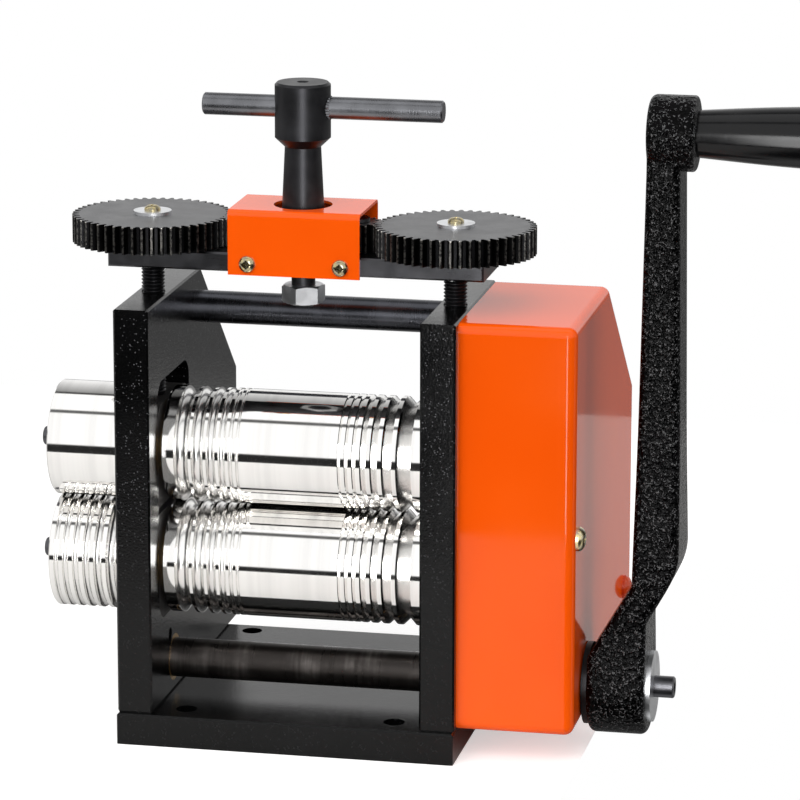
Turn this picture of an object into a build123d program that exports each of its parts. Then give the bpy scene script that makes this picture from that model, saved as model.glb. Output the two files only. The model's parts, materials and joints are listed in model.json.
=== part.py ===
from build123d import *
from math import acos, cos, pi, radians, sin, tan
import os

# Jewellers rolling mill.  +X runs along the rolls towards the crank, -Y is the feeding side, +Z is up.
# The origin is the centre of the four bench-bolt holes, on the underside of the base plate.  Sizes in mm.

# ---- base plate and bench bolts ----
bolt_span_x = 90.0
bolt_span_y = 119.0
bench_hole_radius = 4.5
base_thickness = 13.5
base_front_margin = 12.5
base_rear_margin = 9.0
edge_round = 0.8

# ---- cheeks ----
cheek_gap = 115.0
cheek_thickness = 15.0
cheek_top = 188.0
cheek_depth = 154.0
cheek_top_depth = 90.5
cheek_chamfer_height = 58.0
base_lip = 2.5
window_width = 53.6
window_shift = 2.5
window_bottom = 50.0
window_top = 153.4
window_corner = 8.5
oil_hole_radius = 2.8
oil_hole_depth = 6.0
oil_hole_forward = 6.8
oil_hole_rise = 12.0

# ---- rolls ----
roll_radius = 24.5
roll_nip = 0.2
roll_side_play = 1.25
roll_setback = 38.5
lower_roll_height = 73.5
journal_radius = 14.0
roll_seat_radius = 11.0
roll_chamfer = 0.5
end_land = 5.4
round_grooves = (6.2, 5.1, 3.9, 2.95, 1.8, 1.3)
round_land = 1.35
vee_grooves = (6.5, 4.35, 3.1, 2.6, 1.65, 1.4, 1.2)
vee_land = 1.75
extension_width = 31.5
extension_gap = 2.2
extension_grooves = (4.6, 3.7, 3.1, 2.8, 2.7, 2.0)
extension_land = 1.7
extension_end_wall = 6.0
stub_gap = 1.0
roll_screw_radius = 2.5
roll_screw_depth = 14.0
roll_screw_head_radius = 4.0
roll_screw_head = 7.5
hole_bottom_gap = 1.0

# ---- bearings ----
slide_clearance = 0.05
block_side_clearance = 0.1
block_corner = 9.0
lower_block_height = 46.5
block_gap = 3.0
upper_block_height = 44.0
bush_wall = 3.0
bush_flange = 1.2
bush_flange_overhang = 2.0
running_clearance = 0.05
spring_offset = 21.6
spring_coil_radius = 2.7
spring_wire_radius = 0.5
spring_turns = 6
spring_pocket_radius = 3.6
spring_pocket_depth = 8.0

# ---- tie bar and cheek screws ----
tie_bar_radius = 7.0
tie_bar_setback = 83.0
tie_bar_height = 172.5
tie_screw_radius = 4.0
tie_screw_depth = 18.0
cap_head_ratio = 1.6
cheek_screw_radius = 4.0
cheek_screw_depth = 16.0
cheek_screw_inset = 22.0
head_clearance = 0.4

# ---- roll gears and reduction gears ----
pressure_angle = 25.0
backlash = 0.25
roll_gear_module = 3.5
roll_gear_teeth = 14
roll_gear_addendum = 1.1
roll_gear_width = 18.0
gear_end_gap = 1.5
drive_module = 1.75
pinion_teeth = 12
idler_teeth = 22
drive_teeth = 30
drive_gear_width = 12.0
gear_plane_gap = 2.5
key_width = 5.0
key_height = 5.0
key_depth = 2.6
idler_pin_radius = 6.0
idler_boss_radius = 9.5
idler_side_play = 0.4
idler_pin_depth = 12.0
idler_head_thickness = 3.0
ring_thickness = 1.2
ring_height = 2.0

# ---- gear cover ----
cover_width = 49.4
cover_setback = 4.2
cover_depth = 156.8
cover_top_drop = 0.6
cover_top_depth = 86.8
cover_wall = 1.2
cover_round = 4.0
cover_screw_places = ((11.4, 97.4), (140.0, 41.0))
cover_post_radius = 3.2
cover_stud_radius = 1.5
cover_stud_depth = 10.0
cover_screw_radius = 2.0
cover_screw_depth = 10.0
cover_screw_head = 5.15
cover_screw_head_height = 3.4
shaft_hole_clearance = 0.8

# ---- crank ----
crank_height = 27.5
crank_shaft_radius = 8.5
crank_nose_radius = 6.5
crank_bush_wall = 1.6
shaft_overhang = 3.0
crank_radius = 236.5
spacer_radius = 17.4
spacer_sleeve_radius = 8.5
spacer_gap = 0.4
spacer_width = 2.4
hub_radius = 20.5
hub_width = 24.5
arm_low_inner = 18.1
arm_low_outer = 37.7
arm_high_inner = 21.1
arm_high_outer = 35.2
arm_low_half_depth = 16.5
arm_high_half_depth = 12.2
arm_diagonal_rise = 15.5
arm_bend_rise = 47.0
arm_shoulder_rise = 31.0
arm_flare_rise = 62.0
arm_flare_bulge = 3.6
arm_hub_rise = 27.0
arm_taper_start = 52.0
arm_taper_end = 130.0
arm_round = 3.0
boss_radius = 15.7
boss_outer = 40.6
boss_round = 1.5
crank_washer_radius = 15.0
crank_washer_thickness = 2.0
crank_bolt_radius = 3.0
crank_bolt_head_radius = 4.6
crank_bolt_head = 8.5
crank_bolt_depth = 16.0

# ---- grip ----
grip_root_radius = 9.75
grip_full_radius = 12.9
grip_end_radius = 10.8
grip_length = 97.0
grip_gap = 0.4
grip_pin_radius = 4.0
grip_head_radius = 6.5
grip_head_thickness = 4.0
grip_pin_depth = 13.0

# ---- adjusting gears, screws and bridge ----
handle_teeth = 20
adjust_idler_teeth = 16
adjust_teeth = 52
adjust_pressure = 20.0
adjust_pin_radius = 4.0
adjust_pin_head_radius = 6.0
adjust_pin_head = 1.4
adjust_pin_play = 0.3
adjust_gear_bottom = 210.1
adjust_gear_height = 11.6
beam_bottom = 201.6
beam_height = 8.0
beam_end_margin = 15.0
beam_width = 35.0
screw_radius = 5.0
screw_pitch = 1.5
thread_depth = 0.75
screw_shank_radius = 4.2
screw_tip_gap = 0.1
thrust_washer_radius = 9.5
thrust_washer_thickness = 1.6
gear_washer_radius = 8.0
gear_washer_thickness = 1.2
gear_screw_head = 3.45
gear_screw_radius = 2.0
gear_screw_depth = 12.0

# ---- bridge cover ----
bridge_cover_length = 56.0
bridge_cover_top = 228.0
bridge_cover_bottom = 200.6
bridge_cover_wall = 1.2
bridge_cover_round = 2.4
bridge_cover_hole = 12.3
bridge_screw_spacing = 39.6
bridge_screw_height = 205.4
bridge_screw_head = 3.5
bridge_screw_radius = 1.6
bridge_screw_depth = 8.0

# ---- tee handle ----
bar_height = 269.2
hub_rise = 10.5
hub_drop = 12.7
tee_hub_radius = 11.7
neck_drop = 16.6
neck_top_radius = 7.6
neck_low_radius = 9.0
neck_bottom = 223.5
spindle_radius = 6.0
bar_radius = 4.65
bar_length = 102.0
bar_offset = 8.75
knurl_radius = 5.0
knurl_ridges = 26
nut_flats = 16.0
nut_height = 7.6
nut_top = 194.0
stem_radius = 5.0
stem_tip = 184.8

# ---- places that follow from the sizes above ----
base_front = -bolt_span_y / 2 - base_front_margin
base_back = bolt_span_y / 2 + base_rear_margin
cheek_front = base_front + base_lip
cheek_inner = cheek_gap / 2
cheek_outer = cheek_inner + cheek_thickness
axis_y = cheek_front + roll_setback
window_y = axis_y + window_shift
upper_roll_height = lower_roll_height + 2 * roll_radius + roll_nip
roll_half = cheek_inner - roll_side_play
block_inner = cheek_inner + block_side_clearance
block_outer = cheek_outer - block_side_clearance
roll_gear_start = cheek_outer + gear_end_gap
roll_gear_end = roll_gear_start + roll_gear_width
drive_start = roll_gear_end + gear_plane_gap
drive_end = drive_start + drive_gear_width
cover_outer = cheek_outer + cover_width
extension_inner = cheek_outer + extension_gap
extension_outer = extension_inner + extension_width
screw_x = cheek_inner + cheek_thickness / 2
beam_length = 2 * (screw_x + beam_end_margin)
hub_top = bar_height + hub_rise
hub_bottom = bar_height - hub_drop
neck_top = bar_height - neck_drop
lower_block_top = window_bottom + lower_block_height
upper_block_bottom = lower_block_top + block_gap
upper_block_top = upper_block_bottom + upper_block_height
adjust_gear_top = adjust_gear_bottom + adjust_gear_height
adjust_module = 2 * screw_x / (handle_teeth + 2 * adjust_idler_teeth + adjust_teeth)
adjust_idler_x = adjust_module * (handle_teeth + adjust_idler_teeth) / 2

os.makedirs("parts", exist_ok=True)


def save(builder, label):
    """Name a finished piece and write it as parts/label.step."""
    builder.part.label = label
    export_step(builder.part, f"parts/{label}.step")


def facing_x(x, y=0.0, z=0.0):
    """Plane at station x, seen from +X: sketch x runs along +Y, sketch y along +Z."""
    return Plane(origin=(x, y, z), x_dir=(0, 1, 0), z_dir=(1, 0, 0))


def half_section_x(y, z):
    """Half-section plane of a piece turned about a cross axis: sketch x is X, sketch y the radius."""
    return Plane(origin=(0, y, z), x_dir=(1, 0, 0), z_dir=(0, -1, 0))


def half_section_z(x, y):
    """Half-section plane of a piece turned about an upright axis: sketch x is the radius, y is Z."""
    return Plane(origin=(x, y, 0), x_dir=(1, 0, 0), z_dir=(0, -1, 0))


def gear_outline(module, teeth, tooth_angle, pressure, addendum=1.0):
    """Points of an involute spur gear with one tooth centred at tooth_angle, in degrees."""
    pitch = module * teeth / 2
    base = pitch * cos(radians(pressure))
    root = pitch - 1.25 * module
    tip = pitch + addendum * module
    flank_start = max(base, root)
    flank_points = 5

    def half_tooth(radius):
        at_pitch = radians(pressure)
        at_radius = acos(min(1.0, base / radius))
        involute_gain = (tan(at_pitch) - at_pitch) - (tan(at_radius) - at_radius)
        return pi / (2 * teeth) - backlash / (4 * pitch) + involute_gain

    flank = [(root, half_tooth(flank_start))]
    for i in range(flank_points):
        radius = flank_start + (tip - flank_start) * i / (flank_points - 1)
        flank.append((radius, half_tooth(radius)))
    if root >= base:
        flank = flank[1:]
    points = []
    for tooth in range(teeth):
        centre = radians(tooth_angle) + 2 * pi * tooth / teeth
        rising = [(r, centre - half) for r, half in flank]
        falling = [(r, centre + half) for r, half in reversed(flank)]
        points += [(r * cos(a), r * sin(a)) for r, a in rising + falling]
    return points


def meshing_tooth(teeth_a, tooth_a, teeth_b, direction):
    """Tooth angle of gear b that meshes with gear a, b lying at direction degrees from a."""
    return direction + 180 + (180 - teeth_a * (tooth_a - direction)) / teeth_b


def key_section(x, y, z, radius):
    """Section of a key at station x, sunk key_depth below the surface of a shaft of this radius."""
    with BuildSketch(facing_x(x, y, z)) as section:
        with Locations((0, radius - key_depth + key_height / 2)):
            Rectangle(key_width, key_height)
    return section.sketch


def cap_screw(radius, depth, head_radius, head_height):
    """Socket head screw along Z: the head stands on z = 0 and the thread reaches down by depth."""
    with BuildPart() as screw:
        with BuildSketch(half_section_z(0, 0)):
            with BuildLine():
                Polyline(
                    (0, -depth), (radius - 0.5, -depth), (radius, 0.5 - depth), (radius, 0),
                    (head_radius, 0), (head_radius, head_height - 0.5),
                    (head_radius - 0.5, head_height), (0, head_height), close=True)
            make_face()
        revolve(axis=Axis.Z)
        with BuildSketch(Plane.XY.offset(head_height)):
            RegularPolygon(0.55 * head_radius, 6)
        extrude(amount=-0.55 * head_height, mode=Mode.SUBTRACT)
    return screw.part


def pan_screw(radius, depth, head_radius, head_height):
    """Cross-recess pan head screw along Z: the head stands on z = 0 and the thread reaches down."""
    with BuildPart() as screw:
        with BuildSketch(half_section_z(0, 0)):
            with BuildLine():
                rim = (head_radius, 0.35 * head_height)
                crown = (0.45 * head_radius, head_height)
                Polyline((0, head_height), (0, -depth), (radius, -depth), (radius, 0), (head_radius, 0), rim)
                RadiusArc(rim, crown, -0.75 * head_radius)
                Line(crown, (0, head_height))
            make_face()
        revolve(axis=Axis.Z)
        with BuildSketch(Plane.XY.offset(head_height)):
            Rectangle(1.1 * head_radius, 0.26 * head_radius)
            Rectangle(0.26 * head_radius, 1.1 * head_radius)
        extrude(amount=-0.6 * head_height, taper=12, mode=Mode.SUBTRACT)
    return screw.part


def ring_x(x, thickness, inner, outer, y, z, label):
    """Write a flat ring round a cross axis, starting at station x."""
    with BuildPart() as ring:
        with BuildSketch(facing_x(x, y, z)):
            Circle(outer)
            Circle(inner, mode=Mode.SUBTRACT)
        extrude(amount=thickness)
    save(ring, label)


# ======== fixed frame ========

with BuildPart() as base_plate:
    base_plan = Plane(origin=(0, (base_front + base_back) / 2, 0))
    with BuildSketch(base_plan):
        Rectangle(2 * cheek_outer, base_back - base_front)
    extrude(amount=base_thickness)
    chamfer(base_plate.edges().group_by(Axis.Z)[-1], edge_round)
    fillet(base_plate.edges().filter_by(Axis.Z), edge_round)
    with BuildSketch(Plane.XY):
        with GridLocations(bolt_span_x, bolt_span_y, 2, 2):
            Circle(bench_hole_radius)
    extrude(amount=base_thickness, mode=Mode.SUBTRACT)
    cheek_screw_span = base_back - cheek_front - 2 * cheek_screw_inset
    cheek_screw_plane = Plane(origin=(0, (base_back + cheek_front) / 2, 0))
    with BuildSketch(cheek_screw_plane):
        with GridLocations(2 * screw_x, cheek_screw_span, 2, 2):
            Circle(cheek_screw_radius + head_clearance)
    extrude(amount=base_thickness, mode=Mode.SUBTRACT)
    cheek_head_radius = cap_head_ratio * cheek_screw_radius
    cheek_head_height = 2 * cheek_screw_radius
    cheek_head_seat = cheek_head_height + 2 * head_clearance
    with BuildSketch(cheek_screw_plane):
        with GridLocations(2 * screw_x, cheek_screw_span, 2, 2):
            Circle(cheek_head_radius + head_clearance)
    extrude(amount=cheek_head_seat, mode=Mode.SUBTRACT)
save(base_plate, "base_plate")

tie_bar_y = cheek_front + tie_bar_setback
tie_bar_seats = (
    Plane(origin=(-cheek_outer, tie_bar_y, tie_bar_height), x_dir=(0, 1, 0), z_dir=(-1, 0, 0)),
    facing_x(cheek_outer, tie_bar_y, tie_bar_height))
tie_screw = cap_screw(
    tie_screw_radius, cheek_thickness + tie_screw_depth - hole_bottom_gap,
    cap_head_ratio * tie_screw_radius, 2 * tie_screw_radius)
cheek_screw = cap_screw(
    cheek_screw_radius, base_thickness - cheek_head_seat + cheek_screw_depth - hole_bottom_gap,
    cheek_head_radius, cheek_head_height)
with BuildPart() as frame_screws:
    for end in (-1, 1):
        for row in (-1, 1):
            seat_y = cheek_screw_plane.origin.Y + row * cheek_screw_span / 2
            with Locations(Plane(origin=(end * screw_x, seat_y, cheek_head_seat), z_dir=(0, 0, -1))):
                add(cheek_screw)
    with Locations(*tie_bar_seats):
        add(tie_screw)
save(frame_screws, "frame_screws")

idler_pitch = drive_module * idler_teeth / 2
pinion_pitch = drive_module * pinion_teeth / 2
drive_pitch = drive_module * drive_teeth / 2
crank_drop = lower_roll_height - crank_height
pinion_to_idler = pinion_pitch + idler_pitch
drive_to_idler = drive_pitch + idler_pitch
idler_rise = (crank_drop ** 2 + pinion_to_idler ** 2 - drive_to_idler ** 2) / (2 * crank_drop)
idler_back = (pinion_to_idler ** 2 - idler_rise ** 2) ** 0.5
idler_y = axis_y + idler_back
idler_height = crank_height + idler_rise

for side, name in ((-1, "left"), (1, "right")):
    inner_face = side * cheek_inner
    with BuildPart() as cheek:
        cheek_start = min(side * cheek_inner, side * cheek_outer)
        with BuildSketch(facing_x(cheek_start)):
            with BuildLine():
                Polyline(
                    (cheek_front, base_thickness),
                    (cheek_front + cheek_depth, base_thickness),
                    (cheek_front + cheek_depth, cheek_top - cheek_chamfer_height),
                    (cheek_front + cheek_top_depth, cheek_top),
                    (cheek_front, cheek_top),
                    close=True)
            make_face()
        extrude(amount=cheek_thickness)
        outline = cheek.edges().filter_by(Axis.X, reverse=True)
        chamfer(outline, edge_round)
        with BuildSketch(facing_x(cheek_start, window_y, (window_bottom + window_top) / 2)):
            RectangleRounded(window_width, window_top - window_bottom, window_corner)
        extrude(amount=cheek_thickness, mode=Mode.SUBTRACT)
        with BuildSketch(facing_x(cheek_start, axis_y, crank_height)):
            Circle(crank_shaft_radius + crank_bush_wall)
        extrude(amount=cheek_thickness, mode=Mode.SUBTRACT)
        with BuildSketch(facing_x(cheek_start, tie_bar_y, tie_bar_height)):
            Circle(tie_screw_radius)
        extrude(amount=cheek_thickness, mode=Mode.SUBTRACT)
        with BuildSketch(Plane(origin=(side * screw_x, axis_y, cheek_top))):
            Circle(screw_radius + 2 * running_clearance)
        extrude(amount=window_top - window_corner - cheek_top, mode=Mode.SUBTRACT)
        with BuildSketch(Plane(origin=(side * screw_x, cheek_screw_plane.origin.Y, base_thickness))):
            with GridLocations(1, cheek_screw_span, 1, 2):
                Circle(cheek_screw_radius)
        extrude(amount=cheek_screw_depth, mode=Mode.SUBTRACT)
        if side < 0:
            oil_plane = facing_x(inner_face, axis_y - oil_hole_forward, crank_height + oil_hole_rise)
            with BuildSketch(oil_plane):
                Circle(oil_hole_radius)
            extrude(amount=-oil_hole_depth, mode=Mode.SUBTRACT)
        else:
            with BuildSketch(facing_x(cheek_outer, idler_y, idler_height)):
                Circle(idler_boss_radius)
            extrude(amount=drive_start - idler_side_play - cheek_outer)
            with BuildSketch(facing_x(drive_start, idler_y, idler_height)):
                Circle(idler_pin_radius)
            extrude(amount=cheek_outer - idler_pin_depth - drive_start, mode=Mode.SUBTRACT)
            with BuildSketch(facing_x(cheek_outer)):
                with Locations([(cheek_front + back, height) for back, height in cover_screw_places]):
                    Circle(cover_stud_radius)
            extrude(amount=-cover_stud_depth - hole_bottom_gap, mode=Mode.SUBTRACT)
    save(cheek, f"{name}_cheek")

with BuildPart() as upper_tie_bar:
    with BuildSketch(facing_x(-cheek_inner, tie_bar_y, tie_bar_height)):
        Circle(tie_bar_radius)
    extrude(amount=cheek_gap)
    for end in (-1, 1):
        with BuildSketch(facing_x(end * cheek_inner, tie_bar_y, tie_bar_height)):
            Circle(tie_screw_radius)
        extrude(amount=-end * tie_screw_depth, mode=Mode.SUBTRACT)
save(upper_tie_bar, "upper_tie_bar")

# ======== bearing blocks, bushes and springs ========

block_width = window_width - 2 * slide_clearance
bush_radius = journal_radius + bush_wall
block_bodies = (
    ("lower", window_bottom, lower_block_top, lower_roll_height),
    ("upper", upper_block_bottom, upper_block_top, upper_roll_height))
for side, name in ((-1, "left"), (1, "right")):
    for level, low, high, journal_height in block_bodies:
        with BuildPart() as block:
            with BuildSketch(facing_x(side * block_inner, window_y, (low + high) / 2)):
                Rectangle(block_width, high - low)
            extrude(amount=side * (block_outer - block_inner))
            ends = block.edges().filter_by(Axis.X).group_by(Axis.Z)
            fillet(ends[0] if level == "lower" else ends[-1], block_corner)
            with BuildSketch(facing_x(side * block_inner, axis_y, journal_height)):
                Circle(bush_radius)
            extrude(amount=side * (block_outer - block_inner), mode=Mode.SUBTRACT)
            pocket_mouth = high if level == "lower" else low
            with BuildSketch(Plane(origin=(side * screw_x, window_y, pocket_mouth))):
                with GridLocations(1, 2 * spring_offset, 1, 2):
                    Circle(spring_pocket_radius)
            inwards = -1 if level == "lower" else 1
            extrude(amount=inwards * spring_pocket_depth, mode=Mode.SUBTRACT)
        save(block, f"{name}_{level}_bearing_block")

for level, journal_height in (("lower", lower_roll_height), ("upper", upper_roll_height)):
    with BuildPart() as bushes:
        for side in (-1, 1):
            with BuildSketch(facing_x(side * block_inner, axis_y, journal_height)):
                Circle(bush_radius)
            extrude(amount=side * (block_outer - block_inner))
            with BuildSketch(facing_x(side * (block_inner - bush_flange), axis_y, journal_height)):
                Circle(bush_radius + bush_flange_overhang)
            extrude(amount=side * bush_flange)
        with BuildSketch(facing_x(-cheek_outer, axis_y, journal_height)):
            Circle(journal_radius + running_clearance)
        extrude(amount=2 * cheek_outer, mode=Mode.SUBTRACT)
    save(bushes, f"{level}_bushes")

spring_seat = lower_block_top - spring_pocket_depth
spring_height = block_gap + 2 * spring_pocket_depth - 2 * spring_wire_radius
with BuildPart() as spring:
    with BuildLine() as spring_path:
        Helix(spring_height / spring_turns, spring_height, spring_coil_radius, center=(0, 0, spring_wire_radius))
    with BuildSketch(Plane(origin=spring_path.line @ 0, z_dir=spring_path.line % 0)):
        Circle(spring_wire_radius)
    sweep(is_frenet=True)
with BuildPart() as bearing_springs:
    with Locations((0, window_y, spring_seat)):
        with GridLocations(2 * screw_x, 2 * spring_offset, 2, 2):
            add(spring.part)
save(bearing_springs, "bearing_springs")

# ======== rolls ========

stub_end = extension_outer - extension_end_wall - stub_gap
for level, height in (("lower", lower_roll_height), ("upper", upper_roll_height)):
    right_end = drive_end if level == "lower" else roll_gear_end
    centre_line = Axis((0, axis_y, height), (1, 0, 0))
    with BuildPart() as roll:
        with BuildSketch(half_section_x(axis_y, height)):
            with BuildLine():
                edge = -roll_half + end_land
                Polyline(
                    (-stub_end, 0), (-stub_end, roll_seat_radius), (-extension_inner, roll_seat_radius),
                    (-extension_inner, journal_radius), (-roll_half, journal_radius),
                    (-roll_half, roll_radius - roll_chamfer), (-roll_half + roll_chamfer, roll_radius),
                    (edge, roll_radius))
                for groove in round_grooves:
                    half = groove / 2
                    ThreePointArc(
                        (edge, roll_radius), (edge + half, roll_radius - half), (edge + groove, roll_radius))
                    edge += groove + round_land
                    Line((edge - round_land, roll_radius), (edge, roll_radius))
                vees = []
                far_edge = roll_half - end_land
                for groove in vee_grooves:
                    half = groove / 2
                    vees += [(far_edge, roll_radius), (far_edge - half, roll_radius - half)]
                    vees += [(far_edge - groove, roll_radius)]
                    far_edge -= groove + vee_land
                Polyline(
                    (edge, roll_radius), *reversed(vees),
                    (roll_half - roll_chamfer, roll_radius), (roll_half, roll_radius - roll_chamfer),
                    (roll_half, journal_radius), (roll_gear_start, journal_radius),
                    (roll_gear_start, roll_seat_radius), (right_end, roll_seat_radius), (right_end, 0),
                    (-stub_end, 0))
            make_face()
        revolve(axis=centre_line)
        right_key = key_section(roll_gear_start, axis_y, height, roll_seat_radius)
        left_key = key_section(-stub_end, axis_y, height, roll_seat_radius)
        extrude(right_key, amount=right_end - roll_gear_start, mode=Mode.SUBTRACT)
        extrude(left_key, amount=stub_end - extension_inner, mode=Mode.SUBTRACT)
        for station, inwards in ((-stub_end, 1), (right_end, -1)):
            with BuildSketch(facing_x(station, axis_y, height)):
                Circle(roll_screw_radius)
            extrude(amount=inwards * roll_screw_depth, mode=Mode.SUBTRACT)
    save(roll, f"{level}_roll")

    with BuildPart() as extension_roll:
        with BuildSketch(half_section_x(axis_y, height)):
            with BuildLine():
                edge = -extension_inner - extension_land
                Polyline(
                    (-stub_end - stub_gap, roll_seat_radius), (-extension_inner, roll_seat_radius),
                    (-extension_inner, roll_radius - roll_chamfer), (-extension_inner - roll_chamfer, roll_radius),
                    (edge, roll_radius))
                if level == "lower":
                    for groove in extension_grooves:
                        half = groove / 2
                        ThreePointArc(
                            (edge, roll_radius), (edge - half, roll_radius - half), (edge - groove, roll_radius))
                        edge -= groove + extension_land
                        Line((edge + extension_land, roll_radius), (edge, roll_radius))
                Polyline(
                    (edge, roll_radius), (-extension_outer + roll_chamfer, roll_radius),
                    (-extension_outer, roll_radius - roll_chamfer), (-extension_outer, roll_screw_radius),
                    (-stub_end - stub_gap, roll_screw_radius), (-stub_end - stub_gap, roll_seat_radius))
            make_face()
        revolve(axis=centre_line)
        extrude(left_key, amount=stub_end - extension_inner, mode=Mode.SUBTRACT)
    save(extension_roll, f"{level}_extension_roll")

    with BuildPart() as roll_keys:
        extrude(right_key, amount=right_end - roll_gear_start)
        extrude(left_key, amount=stub_end - extension_inner)
    save(roll_keys, f"{level}_roll_keys")

    ring_x(
        right_end, crank_washer_thickness, roll_screw_radius, crank_washer_radius, axis_y, height,
        f"{level}_roll_washer")

    screw_reach = roll_screw_depth - hole_bottom_gap
    left_screw = cap_screw(
        roll_screw_radius, extension_end_wall + stub_gap + screw_reach, roll_screw_head_radius, roll_screw_head)
    right_screw = cap_screw(
        roll_screw_radius, crank_washer_thickness + screw_reach, roll_screw_head_radius, roll_screw_head)
    left_seat = Plane(origin=(-extension_outer, axis_y, height), x_dir=(0, 1, 0), z_dir=(-1, 0, 0))
    with BuildPart() as roll_screws:
        with Locations(left_seat):
            add(left_screw)
        with Locations(facing_x(right_end + crank_washer_thickness, axis_y, height)):
            add(right_screw)
    save(roll_screws, f"{level}_roll_screws")

# ======== gear train behind the cover ========

pinion_tooth = 90.0
idler_direction = Vector(idler_back, idler_rise, 0).get_angle(Vector(1, 0, 0))
idler_tooth = meshing_tooth(pinion_teeth, pinion_tooth, idler_teeth, idler_direction)
drive_direction = 180 - Vector(idler_back, idler_rise - crank_drop, 0).get_angle(Vector(1, 0, 0))
drive_tooth = meshing_tooth(idler_teeth, idler_tooth, drive_teeth, drive_direction)
lower_gear_tooth = 90.0
upper_gear_tooth = meshing_tooth(roll_gear_teeth, lower_gear_tooth, roll_gear_teeth, 90.0)

roll_gears = (
    ("lower_roll_gear", lower_roll_height, lower_gear_tooth),
    ("upper_roll_gear", upper_roll_height, upper_gear_tooth))
for name, height, tooth in roll_gears:
    with BuildPart() as roll_gear:
        with BuildSketch(facing_x(roll_gear_start, axis_y, height)):
            with BuildLine():
                Polyline(
                    *gear_outline(roll_gear_module, roll_gear_teeth, tooth, pressure_angle, roll_gear_addendum),
                    close=True)
            make_face()
            Circle(roll_seat_radius, mode=Mode.SUBTRACT)
        extrude(amount=roll_gear_width)
        key = key_section(roll_gear_start, axis_y, height, roll_seat_radius)
        extrude(key, amount=roll_gear_width, mode=Mode.SUBTRACT)
    save(roll_gear, name)

drive_train = (
    ("crank_pinion", pinion_teeth, pinion_tooth, axis_y, crank_height, crank_nose_radius),
    ("idler_gear", idler_teeth, idler_tooth, idler_y, idler_height, idler_pin_radius + running_clearance),
    ("drive_gear", drive_teeth, drive_tooth, axis_y, lower_roll_height, roll_seat_radius))
for name, teeth, tooth, gear_y, gear_height, bore in drive_train:
    with BuildPart() as drive_piece:
        with BuildSketch(facing_x(drive_start, gear_y, gear_height)):
            with BuildLine():
                Polyline(*gear_outline(drive_module, teeth, tooth, pressure_angle), close=True)
            make_face()
            Circle(bore, mode=Mode.SUBTRACT)
        extrude(amount=drive_gear_width)
        if name == "drive_gear":
            with BuildSketch(facing_x(roll_gear_end, gear_y, gear_height)):
                Circle(journal_radius)
                Circle(bore, mode=Mode.SUBTRACT)
            extrude(amount=gear_plane_gap)
            key = key_section(roll_gear_end, gear_y, gear_height, bore)
            extrude(key, amount=drive_end - roll_gear_end, mode=Mode.SUBTRACT)
    save(drive_piece, name)

idler_pin_start = cheek_outer - idler_pin_depth
idler_head_start = drive_end + idler_side_play
with BuildPart() as idler_pin:
    with BuildSketch(facing_x(idler_pin_start, idler_y, idler_height)):
        Circle(idler_pin_radius)
    extrude(amount=idler_head_start - idler_pin_start)
    with BuildSketch(facing_x(idler_head_start, idler_y, idler_height)):
        Circle(idler_boss_radius)
        RegularPolygon(idler_pin_radius / 2, 6, mode=Mode.SUBTRACT)
    extrude(amount=idler_head_thickness)
save(idler_pin, "idler_pin")

# ======== gear cover ========

cover_front = cheek_front + cover_setback
cover_back = cover_front + cover_depth
cover_top = cheek_top - cover_top_drop
with BuildPart() as gear_cover:
    with BuildSketch(facing_x(cheek_outer)):
        with BuildLine():
            Polyline(
                (cover_front, base_thickness),
                (cover_back, base_thickness),
                (cover_back, cheek_top - cheek_chamfer_height),
                (cover_front + cover_top_depth, cover_top),
                (cover_front, cover_top),
                close=True)
        make_face()
    extrude(amount=cover_width)
    fillet(gear_cover.edges().filter_by(Axis.X), cover_round)
    fillet(gear_cover.faces().sort_by(Axis.X)[-1].edges(), cover_round)
    offset(amount=-cover_wall, openings=gear_cover.faces().sort_by(Axis.X)[0])
    with BuildSketch(facing_x(cover_outer, axis_y, crank_height)):
        Circle(spacer_sleeve_radius + shaft_hole_clearance)
    extrude(amount=-2 * cover_wall, mode=Mode.SUBTRACT)
    with BuildSketch(facing_x(cover_outer)):
        with Locations([(cheek_front + back, height) for back, height in cover_screw_places]):
            Circle(cover_screw_radius)
    extrude(amount=-2 * cover_wall, mode=Mode.SUBTRACT)
save(gear_cover, "gear_cover")

with BuildPart() as cover_posts:
    for back, height in cover_screw_places:
        with BuildSketch(facing_x(cheek_outer, cheek_front + back, height)):
            Circle(cover_post_radius)
        extrude(amount=cover_width - cover_wall)
        with BuildSketch(facing_x(cheek_outer, cheek_front + back, height)):
            Circle(cover_stud_radius)
        extrude(amount=-cover_stud_depth)
        with BuildSketch(facing_x(cover_outer - cover_wall, cheek_front + back, height)):
            Circle(cover_screw_radius)
        extrude(amount=-cover_screw_depth, mode=Mode.SUBTRACT)
save(cover_posts, "cover_posts")

cover_screw = pan_screw(
    cover_screw_radius, cover_wall + cover_screw_depth - hole_bottom_gap, cover_screw_head,
    cover_screw_head_height)
with BuildPart() as cover_screws:
    with Locations([facing_x(cover_outer, cheek_front + back, height) for back, height in cover_screw_places]):
        add(cover_screw)
save(cover_screws, "cover_screws")

# ======== crank ========

spacer_start = cover_outer + spacer_gap
hub_start = spacer_start + spacer_width
hub_end = hub_start + hub_width
shaft_left = -cheek_outer - shaft_overhang
with BuildPart() as crank_bushes:
    for side in (-1, 1):
        with BuildSketch(facing_x(side * cheek_inner, axis_y, crank_height)):
            Circle(crank_shaft_radius + crank_bush_wall)
        extrude(amount=side * cheek_thickness)
    with BuildSketch(facing_x(-cheek_outer, axis_y, crank_height)):
        Circle(crank_shaft_radius + running_clearance)
    extrude(amount=2 * cheek_outer, mode=Mode.SUBTRACT)
save(crank_bushes, "crank_bushes")

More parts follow.
